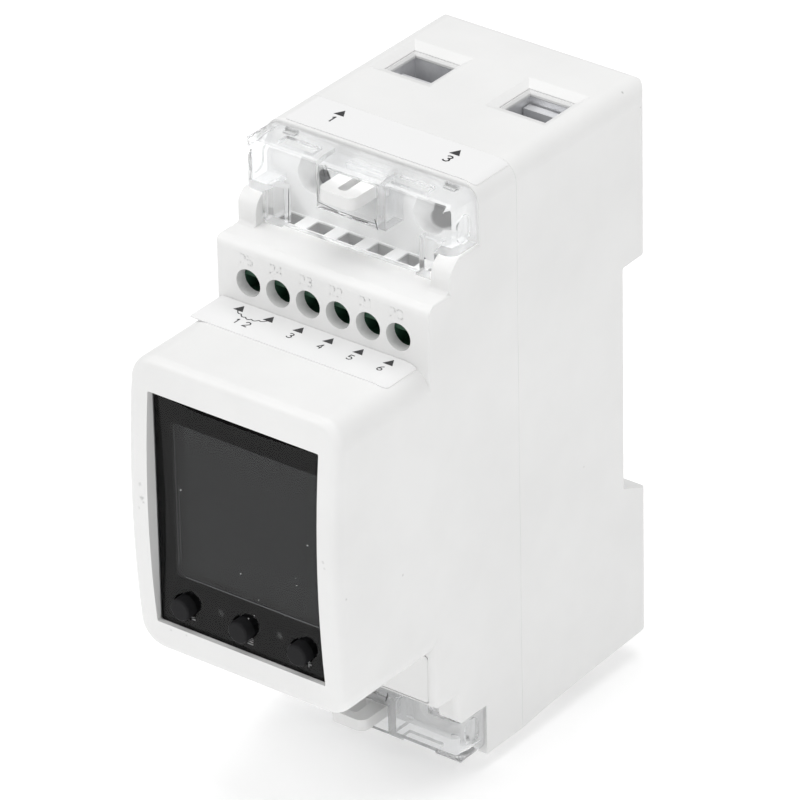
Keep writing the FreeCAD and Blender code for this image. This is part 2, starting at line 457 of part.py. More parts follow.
# ---------------------------------------------------------------- signal terminals
blk = box(-15.3, 15.3, -46.35, -35.6, 61.8, 72.25)
for x in SIG_X:
    blk = blk.cut(box(x - 2.1, x + 2.1, -43.3, -36.6, 63.8, 69.6))
    blk = blk.cut(box(x - 2.1, x + 2.1, -46.5, -43.2, 64.9, 67.5))
    blk = blk.cut(box(x - 1.5, x + 1.5, -39.9, -37.2, 69.5, 72.5))
    blk = blk.cut(box(x - 1.25, x + 1.25, -40.3, -39.6, 61.0, 64.9))
save("signal_terminal_block", blk)
con = []
for x in SIG_X:
    con.append(fuse(box(x - 1.1, x + 1.1, -40.15, -39.75, 60.2, 68.8), box(x - 1.1, x + 1.1, -40.15, -32.6, 60.2, 60.6)))
save("signal_contacts", *con)
for i, x in enumerate(SIG_X):
    ring = box(x - 1.8, x + 1.8, -41.1, -36.75, 64.1, 69.3).cut(box(x - 1.3, x + 1.3, -40.3, -37.25, 63, 71))
    ring = ring.cut(cyl('y', x, SIG_ZS, 1.0, -43, -40.0))
    save("signal_clamp_%d" % (i + 1), ring)
    hd = cyl('y', x, SIG_ZS, 1.2, -44.4, -43.5)
    hd = hd.cut(box(x - 0.25, x + 0.25, -46, -43.9, SIG_ZS - 1.3, SIG_ZS + 1.3))
    save("signal_screw_%d" % (i + 1), fuse(hd, cyl('y', x, SIG_ZS, 0.95, -43.6, -40.3)))

# ---------------------------------------------------------------- rail latch and its spring
latch = fuse(box(-5.9, 5.9, -3.5, -1.1, -1.5, 23.4), box(-4.3, 4.3, -1.2, 0.5, -1.5, 20.5),
             prism('x', [(-3.5, 22.0), (-1.1, 22.0), (-1.1, 24.2), (-2.6, 26.8), (-3.5, 26.8)], -5.9, 5.9))
latch = latch.cut(box(-1.9, 1.9, -3.6, -1.0, 7.8, 19.2))
latch = latch.cut(box(-2.6, 2.6, -0.7, 1.0, 0.6, 2.6))
save("rail_latch", latch)
sp_r, sp_w, sp_z0, sp_z1 = 0.85, 0.16, 9.6, 19.0
turns = 8
hx = Part.makeHelix((sp_z1 - sp_z0) / turns, sp_z1 - sp_z0, sp_r)
prof = Part.Wire([Part.makeCircle(sp_w, V(sp_r, 0, 0), V(0, 1, 0))])
spring = Part.Wire(hx.Edges).makePipeShell([prof], True, True)
spring.translate(V(0, -2.4, sp_z0))
save("latch_spring", spring)
print(len(NODES), "nodes")
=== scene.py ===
import math
import bpy, bmesh
import numpy as np
from mathutils import Matrix, Vector, noise as mnoise


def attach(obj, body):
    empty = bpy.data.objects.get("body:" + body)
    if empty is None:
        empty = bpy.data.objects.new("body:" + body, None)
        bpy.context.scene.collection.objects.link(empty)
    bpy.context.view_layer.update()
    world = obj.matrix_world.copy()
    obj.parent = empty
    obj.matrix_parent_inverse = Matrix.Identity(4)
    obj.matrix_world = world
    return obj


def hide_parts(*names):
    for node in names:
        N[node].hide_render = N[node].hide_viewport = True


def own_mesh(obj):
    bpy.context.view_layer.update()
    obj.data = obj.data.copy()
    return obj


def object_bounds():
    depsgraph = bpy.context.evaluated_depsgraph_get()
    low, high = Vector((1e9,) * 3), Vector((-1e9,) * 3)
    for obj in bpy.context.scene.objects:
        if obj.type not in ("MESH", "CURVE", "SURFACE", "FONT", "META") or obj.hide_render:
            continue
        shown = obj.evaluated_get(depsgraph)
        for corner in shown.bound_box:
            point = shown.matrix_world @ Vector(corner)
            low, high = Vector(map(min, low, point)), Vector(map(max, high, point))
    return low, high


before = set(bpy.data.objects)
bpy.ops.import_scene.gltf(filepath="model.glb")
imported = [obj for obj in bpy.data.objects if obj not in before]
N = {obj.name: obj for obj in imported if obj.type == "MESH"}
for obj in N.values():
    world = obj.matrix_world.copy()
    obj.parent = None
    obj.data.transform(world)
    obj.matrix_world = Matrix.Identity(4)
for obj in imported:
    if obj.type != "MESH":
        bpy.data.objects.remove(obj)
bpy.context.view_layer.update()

SC = bpy.context.scene


def P(x, y, z):
    """millimetres measured from the middle of the case, with Z from its lower shelf, to the row frame"""
    return Vector((x / 1000.0, (y + 4.7) / 1000.0, (z - 42.5) / 1000.0))


# ------------------------------------------------------------------ node helpers
def new_mat(name):
    m = bpy.data.materials.new(name)
    m.use_nodes = True
    m.node_tree.nodes.clear()
    return m


def nd(m, kind, **props):
    n = m.node_tree.nodes.new(kind)
    for k, v in props.items():
        setattr(n, k, v)
    return n


def ln(m, a, b):
    m.node_tree.links.new(a, b)


def val(sock, v):
    sock.default_value = v


def coords(m, scale=(1, 1, 1), loc=(0, 0, 0)):
    tc = nd(m, "ShaderNodeTexCoord")
    mp = nd(m, "ShaderNodeMapping")
    val(mp.inputs["Scale"], scale)
    val(mp.inputs["Location"], loc)
    ln(m, tc.outputs["Object"], mp.inputs["Vector"])
    return mp.outputs["Vector"]


def tex_noise(m, vec, scale, detail=3.0, rough=0.5, distort=0.0):
    n = nd(m, "ShaderNodeTexNoise")
    val(n.inputs["Scale"], scale)
    val(n.inputs["Detail"], detail)
    val(n.inputs["Roughness"], rough)
    val(n.inputs["Distortion"], distort)
    ln(m, vec, n.inputs["Vector"])
    return n.outputs["Fac"]


def ramp(m, fac, stops):
    r = nd(m, "ShaderNodeValToRGB")
    el = r.color_ramp.elements
    while len(el) > 1:
        el.remove(el[-1])
    el[0].position = stops[0][0]
    el[0].color = (*stops[0][1], 1)
    for p, c in stops[1:]:
        e = el.new(p)
        e.color = (*c, 1)
    ln(m, fac, r.inputs["Fac"])
    return r.outputs["Color"]


def maprange(m, v, a, b, c, d, smooth=False):
    n = nd(m, "ShaderNodeMapRange")
    if smooth:
        n.interpolation_type = "SMOOTHSTEP"
    for i, x in zip((1, 2, 3, 4), (a, b, c, d)):
        val(n.inputs[i], x)
    ln(m, v, n.inputs[0])
    return n.outputs[0]


def mathn(m, op, a, b=None):
    n = nd(m, "ShaderNodeMath", operation=op)
    for i, x in enumerate((a, b)):
        if x is None:
            continue
        if isinstance(x, (int, float)):
            val(n.inputs[i], x)
        else:
            ln(m, x, n.inputs[i])
    return n.outputs[0]


def mixc(m, fac, a, b):
    n = nd(m, "ShaderNodeMix", data_type="RGBA")
    for key, x in ((0, fac), (6, a), (7, b)):
        if isinstance(x, (int, float)):
            val(n.inputs[key], x)
        elif isinstance(x, tuple):
            val(n.inputs[key], (*x, 1) if len(x) == 3 else x)
        else:
            ln(m, x, n.inputs[key])
    return n.outputs[2]


def bump(m, height, strength, distance, normal=None):
    b = nd(m, "ShaderNodeBump")
    val(b.inputs["Strength"], strength)
    val(b.inputs["Distance"], distance)
    ln(m, height, b.inputs["Height"])
    if normal is not None:
        ln(m, normal, b.inputs["Normal"])
    return b.outputs["Normal"]


def principled(m):
    p = nd(m, "ShaderNodeBsdfPrincipled")
    o = nd(m, "ShaderNodeOutputMaterial")
    ln(m, p.outputs[0], o.inputs["Surface"])
    return p, o


def spot_mask(m, vec, spots):
    """dark flecks: each spot is (place, radius in mm, strength), with a ragged edge"""
    total = None
    rag = tex_noise(m, vec, 2600.0, 3.0, 0.6)
    for (pos, r, s) in spots:
        d = nd(m, "ShaderNodeVectorMath", operation="DISTANCE")
        ln(m, vec, d.inputs[0])
        val(d.inputs[1], tuple(pos))
        dd = mathn(m, "ADD", d.outputs["Value"], mathn(m, "MULTIPLY", mathn(m, "SUBTRACT", rag, 0.5), r / 1000.0 * 1.6))
        k = maprange(m, dd, r / 1000.0 * 0.25, r / 1000.0, s, 0.0, True)
        total = k if total is None else mathn(m, "MAXIMUM", total, k)
    return total


# ------------------------------------------------------------------ materials
def mat_white(name, spots=(), base=(0.80, 0.80, 0.795), low=(0.765, 0.765, 0.76)):
    m = new_mat(name)
    p, o = principled(m)
    v = coords(m)
    big = tex_noise(m, v, 55.0, 4.0, 0.55)
    fine = tex_noise(m, v, 2200.0, 2.0, 0.5)
    grain = tex_noise(m, v, 5200.0, 2.0, 0.6)
    col = mixc(m, maprange(m, big, 0.35, 0.65, 0.0, 1.0), low, base)
    if spots:
        k = spot_mask(m, v, spots)
        col = mixc(m, k, col, (0.10, 0.10, 0.095))
    ln(m, col, p.inputs["Base Color"])
    ln(m, maprange(m, fine, 0.3, 0.7, 0.36, 0.47), p.inputs["Roughness"])
    n1 = bump(m, grain, 0.10, 0.00004)
    n2 = bump(m, big, 0.06, 0.0002, n1)
    ln(m, n2, p.inputs["Normal"])
    val(p.inputs["IOR"], 1.5)
    val(p.inputs["Specular IOR Level"], 0.45)
    val(p.inputs["Subsurface Weight"], 0.0)
    return m


def mat_clear(name, tint=(0.985, 0.99, 0.995), rough=0.05, ior=1.14, coat=1.0, wav=0.1, wscale=200.0, let=0.97, clear=0.93):
    """clear moulded plastic: what is behind it is hardly bent, and a glossy skin gives its shine"""
    m = new_mat(name)
    v = coords(m)
    wave = tex_noise(m, v, wscale, 2.0, 0.4)
    speck = tex_noise(m, v, 3200.0, 2.0, 0.6)
    p = nd(m, "ShaderNodeBsdfPrincipled")
    val(p.inputs["Base Color"], (*tint, 1))
    val(p.inputs["Transmission Weight"], clear)
    val(p.inputs["IOR"], ior)
    val(p.inputs["Coat Weight"], coat)
    val(p.inputs["Coat Roughness"], 0.05)
    ln(m, maprange(m, speck, 0.45, 0.8, rough, rough + 0.05), p.inputs["Roughness"])
    ln(m, bump(m, wave, wav, 0.0003), p.inputs["Normal"])
    t = nd(m, "ShaderNodeBsdfTransparent")
    val(t.inputs["Color"], (let, let, let, 1))
    lp = nd(m, "ShaderNodeLightPath")
    mx = nd(m, "ShaderNodeMixShader")
    ln(m, lp.outputs["Is Shadow Ray"], mx.inputs[0])
    ln(m, p.outputs[0], mx.inputs[1])
    ln(m, t.outputs[0], mx.inputs[2])
    o = nd(m, "ShaderNodeOutputMaterial")
    ln(m, mx.outputs[0], o.inputs["Surface"])
    return m


def mat_window(name, tint=(0.64, 0.645, 0.65), coat=0.37, let=0.5):
    """flat tinted window: hardly bent view of the panel behind and a polished front"""
    m = new_mat(name)
    v = coords(m)
    cloud = tex_noise(m, v, 45.0, 2.0, 0.5)
    p = nd(m, "ShaderNodeBsdfPrincipled")
    ln(m, mixc(m, cloud, tuple(c * 0.985 for c in tint), tuple(c * 1.015 for c in tint)), p.inputs["Base Color"])
    val(p.inputs["Transmission Weight"], 1.0)
    val(p.inputs["Roughness"], 0.0)
    val(p.inputs["IOR"], 1.05)
    val(p.inputs["Coat Weight"], coat)
    val(p.inputs["Coat Roughness"], 0.0)
    t = nd(m, "ShaderNodeBsdfTransparent")
    val(t.inputs["Color"], (let, let, let, 1))
    lp = nd(m, "ShaderNodeLightPath")
    mx = nd(m, "ShaderNodeMixShader")
    ln(m, lp.outputs["Is Shadow Ray"], mx.inputs[0])
    ln(m, p.outputs[0], mx.inputs[1])
    ln(m, t.outputs[0], mx.inputs[2])
    o = nd(m, "ShaderNodeOutputMaterial")
    ln(m, mx.outputs[0], o.inputs["Surface"])
    return m


def mat_plastic(name, col, var=0.12, rough=(0.35, 0.5), scale=900.0, b=0.12, dist=0.00005, spec=0.45):
    m = new_mat(name)
    p, o = principled(m)
    v = coords(m)
    n1 = tex_noise(m, v, scale, 3.0, 0.55)
    n2 = tex_noise(m, v, scale * 4.3, 2.0, 0.6)
    lo = tuple(c * (1 - var) for c in col)
    hi = tuple(min(1.0, c * (1 + var)) for c in col)
    ln(m, mixc(m, n1, lo, hi), p.inputs["Base Color"])
    ln(m, maprange(m, n2, 0.3, 0.7, rough[0], rough[1]), p.inputs["Roughness"])
    ln(m, bump(m, n2, b, dist), p.inputs["Normal"])
    val(p.inputs["Specular IOR Level"], spec)
    return m


def mat_metal(name, col, rough=(0.28, 0.45), stretch=(1, 1, 1), scale=1400.0, stain=(0.5, 0.5, 0.5), amount=0.25, metallic=1.0):
    m = new_mat(name)
    p, o = principled(m)
    v = coords(m, stretch)
    streak = tex_noise(m, v, scale, 3.0, 0.6)
    cloud = tex_noise(m, coords(m), 420.0, 3.0, 0.55)
    c1 = mixc(m, maprange(m, cloud, 0.4, 0.7, 0.0, amount), col, tuple(a * b for a, b in zip(col, stain)))
    ln(m, c1, p.inputs["Base Color"])
    val(p.inputs["Metallic"], metallic)
    ln(m, maprange(m, streak, 0.25, 0.75, rough[0], rough[1]), p.inputs["Roughness"])
    ln(m, bump(m, streak, 0.2, 0.00003), p.inputs["Normal"])
    return m


def mat_board(name):
    m = new_mat(name)
    p, o = principled(m)
    v = coords(m)
    lines = nd(m, "ShaderNodeTexVoronoi", feature="DISTANCE_TO_EDGE")
    val(lines.inputs["Scale"], 420.0)
    ln(m, v, lines.inputs["Vector"])
    k = maprange(m, lines.outputs["Distance"], 0.02, 0.07, 1.0, 0.0)
    n1 = tex_noise(m, v, 300.0, 3.0)
    base = mixc(m, n1, (0.012, 0.085, 0.035), (0.02, 0.12, 0.05))
    ln(m, mixc(m, k, base, (0.035, 0.17, 0.08)), p.inputs["Base Color"])
    val(p.inputs["Roughness"], 0.32)
    ln(m, bump(m, k, 0.3, 0.00003), p.inputs["Normal"])
    return m


FRONT_SPOTS = [
    (P(-15.73, -68.9, 44.96), 0.42, 0.22), (P(-15.45, -68.9, 42.9), 0.5, 0.36), (P(-15.2, -68.9, 42.3), 0.3, 0.3),
    (P(-16.05, -68.85, 41.2), 0.3, 0.17), (P(15.45, -68.9, 43.6), 0.33, 0.2), (P(15.7, -68.9, 42.7), 0.25, 0.14),
    (P(18.0, -55.04, 35.73), 0.3, 0.26), (P(18.0, -67.4, 38.0), 0.28, 0.25), (P(-12.2, -67.9, 22.6), 0.3, 0.28),
    (P(-9.5, -67.9, 22.75), 0.22, 0.2),
]
REAR_SPOTS = [(P(16.93, -3.1, 86.15), 0.26, 0.5), (P(18.0, -0.45, 83.1), 0.18, 0.4), (P(-6.0, -20.0, 86.75), 0.2, 0.12), (P(18.0, -14.0, 33.0), 0.22, 0.16)]

M = {}
M["front_white"] = mat_white("white_plastic_front", FRONT_SPOTS)
M["rear_white"] = mat_white("white_plastic_rear", REAR_SPOTS)
M["latch_white"] = mat_white("white_plastic_latch", (), (0.74, 0.74, 0.73), (0.70, 0.70, 0.69))
M["label"] = mat_plastic("label_film", (0.80, 0.80, 0.80), 0.006, (0.42, 0.46), 60.0, 0.0, 0.00002, 0.35)
M["cover"] = mat_clear("clear_cover")
M["window"] = mat_window("tinted_window")
M["mask"] = mat_plastic("black_print", (0.006, 0.006, 0.007), 0.2, (0.5, 0.6), 60.0, 0.0, 0.00002, 0.1)
M["key"] = mat_plastic("black_key", (0.014, 0.014, 0.015), 0.3, (0.50, 0.62), 2600.0, 0.05, 0.00003, 0.1)
M["guide"] = mat_plastic("light_guide", (0.02, 0.021, 0.02), 0.08, (0.2, 0.3), 900.0, 0.05)
M["diffuser"] = mat_plastic("milky_diffuser", (0.75, 0.75, 0.73), 0.03, (0.3, 0.4))
M["board"] = mat_board("board_green")
M["chip"] = mat_plastic("chip_black", (0.015, 0.015, 0.016), 0.2)
M["can"] = mat_metal("capacitor_sleeve", (0.55, 0.56, 0.58), (0.25, 0.35), (1, 0.1, 1))
M["ferrite"] = mat_plastic("ferrite_tape", (0.06, 0.06, 0.065), 0.3)
M["varistor"] = mat_plastic("varistor_dip", (0.03, 0.12, 0.32), 0.2, (0.2, 0.3))
M["relay"] = mat_plastic("relay_case", (0.02, 0.02, 0.022), 0.2)
M["copper"] = mat_metal("tinned_copper", (0.70, 0.52, 0.40), (0.25, 0.4), (1, 1, 0.08), 900.0, (0.7, 0.6, 0.5))
M["manganin"] = mat_metal("manganin", (0.55, 0.48, 0.40), (0.3, 0.45), (1, 1, 0.1), 900.0)
M["zinc"] = mat_metal("zinc_steel", (0.78, 0.785, 0.80), (0.28, 0.42), (0.12, 1, 1), 1600.0, (0.72, 0.72, 0.74), 0.5, 0.45)
M["screw"] = mat_metal("screw_zinc", (0.24, 0.245, 0.27), (0.28, 0.45), (1, 1, 1), 2600.0, (0.25, 0.26, 0.30), 1.0, 0.6)
M["green"] = mat_plastic("terminal_green", (0.035, 0.10, 0.06), 0.2, (0.4, 0.55), 700.0)
M["brass"] = mat_metal("contact_brass", (0.72, 0.62, 0.38))
M["spring"] = mat_metal("spring_wire", (0.45, 0.46, 0.47))
M["ink"] = mat_plastic("print_ink", (0.028, 0.028, 0.03), 0.25, (0.45, 0.6), 1500.0, 0.05)


def mat_lcd(name):
    """dark panel with the faint frame of its active field, a little darker towards the bottom"""
    m = new_mat(name)
    p, o = principled(m)
    v = coords(m)
    sep = nd(m, "ShaderNodeSeparateXYZ")
    ln(m, v, sep.inputs[0])
    x, z = sep.outputs["X"], sep.outputs["Z"]
    inside = mathn(m, "MULTIPLY", maprange(m, x, -0.01055, -0.01035, 0.0, 1.0), maprange(m, z, (31.5 - 42.5) / 1000, (31.75 - 42.5) / 1000, 0.0, 1.0))
    n1 = tex_noise(m, v, 60.0, 3.0, 0.5)
    shade = mixc(m, maprange(m, z, (30.0 - 42.5) / 1000, (54.0 - 42.5) / 1000, 0.0, 1.0), (0.018, 0.0183, 0.019), (0.0215, 0.022, 0.0228))
    shade2 = mixc(m, n1, shade, (0.0225, 0.023, 0.0238))
    col = mixc(m, inside, (0.0075, 0.0076, 0.008), shade2)
    ln(m, col, p.inputs["Base Color"])
    fine = tex_noise(m, v, 900.0, 2.0)
    ln(m, maprange(m, fine, 0.3, 0.7, 0.42, 0.48), p.inputs["Roughness"])
    val(p.inputs["Specular IOR Level"], 0.1)
    return m


M["lcd"] = mat_lcd("lcd_panel")

ASSIGN = {
    "rear_housing": "rear_white", "front_housing": "front_white", "top_terminal_cover": "cover", "bottom_terminal_cover": "cover",
    "ledge_label": "label", "top_label": "label", "display_window": "window", "window_mask": "mask", "lcd_panel": "lcd",
    "lcd_backlight": "diffuser", "display_board": "board", "button_minus": "key", "button_menu": "key", "button_plus": "key",
    "tactile_switches": "chip", "status_led_left": "guide", "status_led_right": "guide", "main_board": "board", "bridge_board": "board",
    "radio_module": "board", "smoothing_capacitors": "can", "supply_transformer": "ferrite", "surge_varistor": "varistor",
    "metering_chip": "chip", "latching_relay": "relay", "neutral_busbar": "copper", "line_in_busbar": "copper", "relay_tail_strip": "copper",
    "shunt_resistor": "manganin", "line_out_busbar": "copper", "signal_terminal_block": "green", "signal_contacts": "brass",
    "rail_latch": "latch_white", "latch_spring": "spring",
}
for q in ("in_left", "in_right", "out_left", "out_right"):
    ASSIGN["clamp_box_" + q] = "zinc"
    ASSIGN["clamp_plate_" + q] = "zinc"
    ASSIGN["clamp_screw_" + q] = "screw"
for i in range(1, 7):
    ASSIGN["signal_clamp_%d" % i] = "zinc"
    ASSIGN["signal_screw_%d" % i] = "screw"
for n, o in N.items():
    o.data.materials.clear()
    o.data.materials.append(M[ASSIGN[n]])


# ------------------------------------------------------------------ mesh helpers
def add_mesh(name, verts, faces, mat, body="housing", smooth=False):
    me = bpy.data.meshes.new(name)
    me.from_pydata([tuple(v) for v in verts], [], faces)
    me.validate()
    me.update()
    ob = bpy.data.objects.new(name, me)
    SC.collection.objects.link(ob)
    ob.data.materials.append(mat)
    if smooth:
        for f in me.polygons:
            f.use_smooth = True
    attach(ob, body)
    return ob


def plate_mesh(outlines, place, thick):
    """closed thin plates: each outline is a list of (a, b) in mm, place(a, b, h) gives the point in the row frame"""
    verts, faces = [], []
    for out in outlines:
        n = len(out)
        i0 = len(verts)
        for a, b in out:
            verts.append(place(a, b, 0.0))
        for a, b in out:
            verts.append(place(a, b, thick))
        area = sum(out[i][0] * out[(i + 1) % n][1] - out[(i + 1) % n][0] * out[i][1] for i in range(n))
        lo = list(range(i0, i0 + n))
        hi = list(range(i0 + n, i0 + 2 * n))
        if area < 0:
            lo.reverse()
            hi.reverse()
        faces.append(hi)
        faces.append(lo[::-1])
        for i in range(n):
            j = (i + 1) % n
            faces.append([lo[i], lo[j], hi[j], hi[i]])
    return verts, faces


def stroke(points, width):
    """outlines (quads) of a broken line with the given width, one per run, plus round joints"""
    outs = []
    w = width / 2
    for (x0, y0), (x1, y1) in zip(points[:-1], points[1:]):
        dx, dy = x1 - x0, y1 - y0
        d = math.hypot(dx, dy)
        if d < 1e-6:
            continue
        nx, ny = -dy / d * w, dx / d * w
        outs.append([(x0 - nx, y0 - ny), (x1 - nx, y1 - ny), (x1 + nx, y1 + ny), (x0 + nx, y0 + ny)])
    return outs


def ribbon(points, width):
    """one outline that follows a smooth line with the given width"""
    w = width / 2
    left, right = [], []
    n = len(points)
    for i, (x, y) in enumerate(points):
        a = points[max(0, i - 1)]
        b = points[min(n - 1, i + 1)]
        dx, dy = b[0] - a[0], b[1] - a[1]
        d = math.hypot(dx, dy) or 1.0
        left.append((x - dy / d * w, y + dx / d * w))
        right.append((x + dy / d * w, y - dx / d * w))
    return left + right[::-1]


def bend_place(x_flat, z_flat, r, lift):
    """place on a top face (mm) whose right edge bends down with radius r after x_flat"""
    def f(a, b, h):
        if a <= x_flat:
            return P(a, b, z_flat + lift + h)
        th = (a - x_flat) / r
        rr = r + lift + h
        return P(x_flat + rr * math.sin(th), b, z_flat - r + rr * math.cos(th))
    return f


# ------------------------------------------------------------------ printed marks
TRI = [(-0.82, 0.0), (0.82, 0.0), (0.0, 1.45)]


def tri(x, y, s=1.0):
    return [(x + a * s, y + b * s) for a, b in TRI]


DIG = {  # plain numerals as broken lines in a 1 x 1.6 cell
    "0": [[(0.0, 0.25), (0.0, 1.35), (0.25, 1.6), (0.75, 1.6), (1.0, 1.35), (1.0, 0.25), (0.75, 0.0), (0.25, 0.0), (0.0, 0.25)]],
    "1": [[(0.2, 1.25), (0.55, 1.6), (0.55, 0.0)]],
    "2": [[(0.0, 1.25), (0.25, 1.6), (0.75, 1.6), (1.0, 1.3), (1.0, 1.0), (0.0, 0.0), (1.0, 0.0)]],
    "3": [[(0.05, 1.4), (0.3, 1.6), (0.75, 1.6), (1.0, 1.3), (0.85, 0.95), (0.45, 0.85)], [(0.45, 0.85), (0.85, 0.75), (1.0, 0.35), (0.75, 0.0), (0.3, 0.0), (0.0, 0.25)]],
    "4": [[(0.75, 0.0), (0.75, 1.6), (0.0, 0.5), (1.0, 0.5)]],
    "5": [[(0.95, 1.6), (0.15, 1.6), (0.05, 0.85), (0.6, 0.95), (1.0, 0.65), (1.0, 0.3), (0.7, 0.0), (0.25, 0.0), (0.0, 0.2)]],
    "6": [[(0.85, 1.6), (0.3, 1.2), (0.0, 0.6), (0.1, 0.15), (0.5, 0.0), (0.95, 0.2), (0.95, 0.65), (0.5, 0.9), (0.05, 0.6)]],
    "+": [[(0.1, 0.8), (0.9, 0.8)], [(0.5, 0.4), (0.5, 1.2)]],
    "-": [[(0.1, 0.8), (0.9, 0.8)]],
}


def glyphs(text, x, y, h, width, gap=0.45):
    """outlines of plain numerals centred on x with their base line at y; h is the height in mm"""
    s = h / 1.6
    total = len(text) * s + (len(text) - 1) * gap * s
    outs = []
    cx = x - total / 2
    for ch in text:
        for line in DIG[ch]:
            pts = [(cx + a * s, y + b * s) for a, b in line]
            outs += stroke(pts, width)
            for (a, b) in pts[1:-1]:
                outs.append([(a + width / 2 * math.cos(t * math.pi / 4), b + width / 2 * math.sin(t * math.pi / 4)) for t in range(8)])
        cx += s * (1 + gap)
    return outs


SIG_X = [-12.55 + 5.08 * i for i in range(6)]
ARR_X = [-12.7 + 5.08 * i for i in range(6)]
ledge = bend_place(14.0, 64.25, 4.0, 0.135)
marks = []
for x in ARR_X:
    marks.append(tri(x, -50.65))
# wavy lead between the first two arrows
wav = []
for i in range(81):
    t = i / 80.0
    x = -12.7 + 5.08 * t
    y = -50.6 - 0.95 * math.sin(math.pi * t) - 0.3 * abs(math.sin(t * math.pi * 5))
    wav.append((x, y))
marks.append(ribbon(wav, 0.16))
for k, x in enumerate(ARR_X[2:]):
    marks += glyphs("3456"[k], x - 0.15, -52.55, 1.15, 0.17)
marks += glyphs("12", (ARR_X[0] + ARR_X[1]) / 2, -53.6, 1.2, 0.18, 1.3)
v, f = plate_mesh(marks, ledge, 0.012)
ledge_print = add_mesh("ledge_print", v, f, M["ink"], "housing")

top = bend_place(15.0, 86.85, 3.0, 0.135)
marks = []
for x, num in ((-9.5, "1"), (10.0, "3")):
    marks.append(tri(x, -31.8, 1.05))
    marks += glyphs(num, x, -33.95, 1.5, 0.24)
v, f = plate_mesh(marks, top, 0.012)
top_print = add_mesh("top_print", v, f, M["ink"], "housing")

# raised numerals above the six round holes, moulded with the case
def face_y(y0):
    def g(a, b, h):
        return P(a, y0 - h, b)
    return g


marks = []
for x, num in zip(ARR_X, ("25", "24", "23", "22", "21", "20")):
    marks += glyphs(num, x - 0.1, 70.45, 1.35, 0.16)
v, f = plate_mesh(marks, face_y(-48.395), 0.022)
f = [q[::-1] for q in f]
hole_numbers = add_mesh("hole_numbers", v, f, M["front_white"], "housing")

# shade on the inner walls of the six wire slots
def mat_slot(name):
    m = new_mat(name)
    p, o = principled(m)
    v = coords(m)
    sep = nd(m, "ShaderNodeSeparateXYZ")
    ln(m, v, sep.inputs[0])
    n1 = tex_noise(m, v, 1500.0, 3.0)
    lit = mixc(m, n1, (0.20, 0.20, 0.20), (0.34, 0.34, 0.34))
    ln(m, mixc(m, maprange(m, sep.outputs["Z"], (71.0 - 42.5) / 1000, (73.3 - 42.5) / 1000, 0.0, 1.0), (0.04, 0.041, 0.042), lit), p.inputs["Base Color"])
    val(p.inputs["Roughness"], 0.5)
    return m


M["slot_wall"] = mat_slot("slot_shade")
v, f = [], []
for x in SIG_X:
    for quad in (((x - 1.46, -37.26), (x - 1.46, -39.84)), ((x + 1.46, -37.26), (x - 1.46, -37.26))):
        (xa, ya), (xb, yb) = quad
        b = len(v)
        v += [P(xa, ya, 73.2), P(xb, yb, 73.2), P(xb, yb, 70.6), P(xa, ya, 70.6)]
        f.append((b, b + 1, b + 2, b + 3))
slot_shade = add_mesh("slot_shade", v, f, M["slot_wall"], "housing")

# light bead in the groove at the right of the lower panel
YS = -48.39
pts = [(16.72, 11.9), (16.93, 11.9), (16.93, 18.7), (16.72, 18.7)]
bead = [P(a, YS + 0.03, z) for a, z in pts]
panel_bead = add_mesh("panel_bead", bead, [(0, 1, 2, 3)], M["front_white"], "housing")

# painted shade: thin dark lines on the front faces of the clear covers, standing in for the dark refracted view along
# their edges
M["edge"] = mat_plastic("painted_refraction_lines", (0.05, 0.05, 0.052), 0.3, (0.3, 0.5), 2500.0, 0.02, 0.00002, 0.3)


def thin(pts, w0, w1):
    """line that swells from w0 to w1 and back along its length"""
    n = len(pts)
    top, low = [], []
    for i, (a, b) in enumerate(pts):
        j0, j1 = max(0, i - 1), min(n - 1, i + 1)
        dx, dz = pts[j1][0] - pts[j0][0], pts[j1][1] - pts[j0][1]
        L = math.hypot(dx, dz) or 1.0
        w = (w0 + (w1 - w0) * math.sin(math.pi * (0.15 + 0.7 * i / (n - 1)))) / 2
        top.append((a - dz / L * w, b + dx / L * w))
        low.append((a + dz / L * w, b - dx / L * w))
    return top + low[::-1]


def subdiv(pts, k=6):
    out = []
    for i in range(len(pts) - 1):
        for j in range(k):
            t = j / k
            out.append((pts[i][0] + (pts[i + 1][0] - pts[i][0]) * t, pts[i][1] + (pts[i + 1][1] - pts[i][1]) * t))
    return out + [pts[-1]]


PAINTED_REFRACTION_LINES = [([(-9.91, 80.28), (-10.0, 79.0), (-10.03, 77.7), (-10.17, 74.92)], 0.05, 0.11), ([(-4.91, 79.78), (-3.0, 79.56), (-1.66, 79.43)], 0.05, 0.12),
         ([(-1.2, 79.47), (1.37, 79.45), (4.74, 79.5)], 0.04, 0.09), ([(-4.49, 79.16), (-2.0, 79.1), (-0.37, 79.05)], 0.03, 0.08),
         ([(0.3, 79.02), (3.53, 79.23)], 0.04, 0.08), ([(-4.76, 85.2), (-5.03, 82.97), (-5.03, 79.85)], 0.04, 0.08),
         ([(-3.55, 85.9), (-2.91, 84.09)], 0.06, 0.13), ([(-4.08, 85.6), (-3.69, 84.16)], 0.04, 0.08), ([(4.63, 80.16), (4.9, 79.4), (5.06, 78.66)], 0.08, 0.18),
         ([(12.9, 76.98), (12.98, 76.76)], 0.2, 0.24)]
# paint the same dark refraction lines on both clear covers, mirrored for the lower one
for nm, body, slot, zmap in (("top_cover_painted_refraction", "top_cover", "cover_clear", lambda z: z), ("bottom_cover_painted_refraction", "bottom_cover", "cover_clear", lambda z: 84.6 - z)):
    v, f = plate_mesh([thin(subdiv(a), w0, w1) for a, w0, w1 in PAINTED_REFRACTION_LINES], lambda a, b, h: P(a, -42.402 - h, zmap(b)), 0.004)
    add_mesh(nm, v, f, M["edge"], body)

